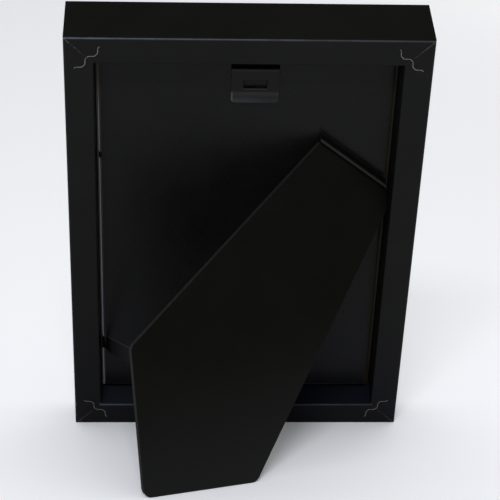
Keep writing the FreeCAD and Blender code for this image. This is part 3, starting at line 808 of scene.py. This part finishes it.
def make_nail(corner):
    """Steel on edge in two waves, its rounded crest a hair proud of the wood."""
    side, level, degrees = CORNERS[corner]
    middle_x = side * (HALF_WIDTH - RAIL + NAIL_SETOUT)
    middle_z = RAIL - NAIL_SETOUT if level < 0 else HEIGHT - RAIL + NAIL_SETOUT
    turn = math.radians(degrees)
    line = nail_wave()
    flank = [(0.21, NAIL_HEIGHT), (0.21, 0.40), (0.12, 0.03)]
    section = flank + [(0.0, -0.02)] + [(-off, depth) for off, depth in reversed(flank)]
    points = []
    for k, here in enumerate(line):
        ahead = line[min(k + 1, len(line) - 1)] - line[max(k - 1, 0)]
        normal = Vector((-ahead.y, ahead.x)).normalized()
        for off, depth in section:
            p = here + normal * off
            x = middle_x + p.x * math.cos(turn) - p.y * math.sin(turn)
            z = middle_z + p.x * math.sin(turn) + p.y * math.cos(turn)
            points.append(put(x, depth, z))
    n = len(section)
    faces = []
    for base in range(0, (len(line) - 1) * n, n):
        for i in range(n):
            j = (i + 1) % n
            faces.append((base + i, base + j, base + n + j, base + n + i))
    faces.append(tuple(range(n)))
    faces.append(tuple(reversed(range(len(points) - n, len(points)))))
    made = mesh_from("nail_" + corner, points, faces)
    face_outward(made)
    made.data.set_sharp_from_angle(angle=math.radians(50))
    dress(made, MATERIALS["nail"])
    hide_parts("corner_fastener_" + corner)
    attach(made, "frame")


# Paper crease between the fixed strip and the strut

def make_crease():
    """The covering paper where it passes from the strip to the strut, pressed into the scored line."""
    half_gap, deepest, paper = 0.15, 0.45, 0.12
    steps, across = 40, 8
    along = (HINGE_HIGH - HINGE_LOW).normalized()
    up = Vector((-along.z, 0, along.x))
    length = (HINGE_HIGH - HINGE_LOW).length
    inward = STAND.to_3x3() @ Vector((0, -1, 0))
    inward_moving = OPENED.to_3x3() @ Vector((0, -1, 0))
    points = []
    for r in range(steps + 1):
        base = HINGE_LOW + along * (length * r / steps)
        fixed = STAND @ (base + up * half_gap)
        moving = OPENED @ (base - up * half_gap)
        for t in even_steps(0, 1, across):
            sink = deepest * math.sin(math.pi * t)
            points.append((fixed.lerp(moving, t) + inward.lerp(inward_moving, t) * sink) * MM)
    made = mesh_from("hinge_crease", points, grid_faces(steps + 1, across + 1))
    modifier(made, "SOLIDIFY", thickness=paper * MM, offset=0.0)
    settle(made)
    dress(made, MATERIALS["crease"])
    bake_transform(made)


# Ribbon

def ribbon_points(line, lift, held):
    """The woven strip along its line, turning from the board's upright to the strut's as it crosses
    the air, with each point's place along and across it."""
    upright = Vector((0, 0, 1))
    turned = OPENING.to_3x3() @ upright
    crossing = held - lift
    width = RIBBON_TOP - RIBBON_FOOT
    width_steps = 12
    cup_depth, ripple_depth = 0.12, 0.05
    points, flat = [], []
    run = 0.0
    for k, here in enumerate(line):
        if k:
            run += (here - line[k - 1]).length
        share = min(1.0, max(0.0, (here - lift).dot(crossing) / crossing.length_squared))
        across = upright.slerp(turned, share)
        ahead = (line[min(k + 1, len(line) - 1)] - line[max(k - 1, 0)]).normalized()
        across = (across - ahead * across.dot(ahead)).normalized()
        normal = ahead.cross(across)
        free = math.sin(math.pi * share) if 0 < share < 1 else 0.0
        for t in even_steps(-0.5, 0.5, width_steps):
            cup = cup_depth * free * (1 - 4 * t * t)
            ripple = ripple_depth * free * math.sin(run * 0.35 + t * 3.0)
            points.append((STAND @ (here + across * (t * width) + normal * (cup + ripple))) * MM)
            flat.append((run, t * width))
    return points, flat


def make_ribbon():
    """One woven strip: round the board's edge, across the air to the strut, and along its inner face."""
    half_thick = RIBBON / 2
    middle_z = (RIBBON_FOOT + RIBBON_TOP) / 2
    tail_z = (TAIL_FOOT + TAIL_TOP) / 2
    edge = BOARD_RIGHT + half_thick
    on_board = BOARD_IN + half_thick
    on_strut = STRUT_IN + half_thick
    lift = Vector((RIBBON_LIFT_X, half_thick - BOARD_OUT, middle_z))
    held = OPENING @ Vector((TAIL_X - half_thick, -(STRUT_IN + RIBBON + half_thick), tail_z))
    inner_start = OPENING @ Vector((TAIL_X - TAIL_BEND, -on_strut, tail_z))
    inner_end = OPENING @ Vector((TAIL_X - TAIL_LENGTH, -on_strut, tail_z))
    corners = [
        Vector((BOARD_RIGHT - RIBBON_INNER_LENGTH, -on_board, middle_z)),
        Vector((edge, -on_board, middle_z)),
        Vector((edge, -(BOARD_OUT + BEVEL), middle_z)),
        lift,
        held,
        inner_start,
        inner_end,
    ]
    radii = [0.35, 0.3, 0.45, 0.35, 0.3]
    longest = 0.8
    line = resample(rounded_path(corners, radii, 5), (), longest)
    points, flat = ribbon_points(line, lift, held)
    made = mesh_from("ribbon", points, grid_faces(len(line), len(points) // len(line)))
    weave = made.data.uv_layers.new(name="weave")
    for loop in made.data.loops:
        weave.data[loop.index].uv = flat[loop.vertex_index]
    modifier(made, "SOLIDIFY", thickness=RIBBON * MM, offset=0.0)
    settle(made)
    dress(made, MATERIALS["ribbon"])
    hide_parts("ribbon_stay", "ribbon_board_tail", "ribbon_strut_tail")
    # the way the ribbon leads off the strut's inner face, square to its tail there
    crossing = held - lift
    tail = (inner_end - inner_start).normalized()
    lead = crossing - tail * crossing.dot(tail)
    lead.normalize()
    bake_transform(made)


# Floor, world and light

def floor_material():
    """Pale to the eye, and a little darker as the light that it throws back."""
    tree = Surface("pale_floor", Specular_IOR_Level=0.1, Roughness=0.9)
    tooth = tree.noise(tree.own_place(), 900, 3)
    lit = tree.mix(tree.span(tooth, 0.3, 0.7), (0.875, 0.875, 0.875, 1), (0.885, 0.885, 0.885, 1))
    seen = tree.node("ShaderNodeLightPath").outputs["Is Camera Ray"]
    tree.set("Base Color", tree.mix(seen, lit, (0.97, 0.97, 0.97, 1)))
    return tree.material


def make_floor():
    """A disc whose rings lie closer together toward its middle."""
    radius, rings, spokes = 3.0, 10, 48
    points = [(0, 0, 0)]
    for ring in range(1, rings + 1):
        out = radius * (ring / rings) ** 2
        for s in range(spokes):
            angle = 2 * math.pi * s / spokes
            points.append((out * math.cos(angle), out * math.sin(angle), 0))
    faces = [(0, 1 + s, 1 + (s + 1) % spokes) for s in range(spokes)]
    for base in range(1, 1 + (rings - 1) * spokes, spokes):
        for s in range(spokes):
            after = (s + 1) % spokes
            faces.append((base + s, base + spokes + s, base + spokes + after, base + after))
    made = mesh_from("floor", points, faces)
    dress(made, floor_material())


def make_world():
    """To the eye and in reflections white around and dim above; as a light, even from all sides."""
    world = bpy.data.worlds.new("studio")
    scene.world = world
    world.use_nodes = True
    tree = Tree(world.node_tree)
    height = tree.parts(tree.node("ShaderNodeTexCoord").outputs["Generated"])["Z"]
    shown = tree.mix(tree.span(height, 0.15, 0.60), (1.0, 1.0, 1.0, 1), (0.130, 0.128, 0.110, 1))
    rays = tree.node("ShaderNodeLightPath").outputs
    seen = tree.most(tree.most(rays["Is Camera Ray"], rays["Is Transmission Ray"]), rays["Is Glossy Ray"])
    colour = tree.mix(seen, (0.72, 0.73, 0.75, 1), shown)
    tree.feed(world.node_tree.nodes["Background"].inputs["Color"], colour)


def make_lamp(name, place, aim, width, height, power, colour):
    data = bpy.data.lights.new(name, "AREA")
    data.shape = "RECTANGLE"
    data.size = width
    data.size_y = height
    data.energy = power
    data.color = colour
    made = new_object(name, data)
    made.location = place
    made.rotation_euler = (Vector(aim) - Vector(place)).to_track_quat("-Z", "Y").to_euler()


def make_camera():
    """Behind the frame and a little above it, placed and turned to match the photograph."""
    data = bpy.data.cameras.new("camera")
    data.sensor_width = 36.0
    data.lens = 132.88
    data.clip_start = 0.05
    data.clip_end = 20.0
    made = new_object("camera", data)
    right = Vector((-0.99881, 0.04612, 0.01611)).normalized()
    ahead = Vector((-0.04868, -0.96753, -0.24803)).normalized()
    up = right.cross(ahead).normalized()
    turn = Matrix((right, up, -ahead)).transposed().to_4x4()
    made.matrix_world = Matrix.Translation((0.02929, 0.64274, 0.24044)) @ turn
    scene.camera = made


for node_name, material_name in NODE_MATERIALS.items():
    dress(nodes[node_name], MATERIALS[material_name])
make_catch()
make_spring()
make_card()
for corner_name in CORNERS:
    make_nail(corner_name)
make_crease()
make_ribbon()
make_floor()
make_world()
make_lamp("window", (0.16, 1.25, 0.95), (0, 0, 0.12), 0.42, 0.20, 12.0, (0.88, 0.91, 1.0))
make_lamp("front", (-0.9, -1.5, 0.45), (0, 0, 0.08), 0.8, 0.5, 2.0, (1.0, 0.98, 0.96))
make_camera()

scene.view_settings.view_transform = "Standard"
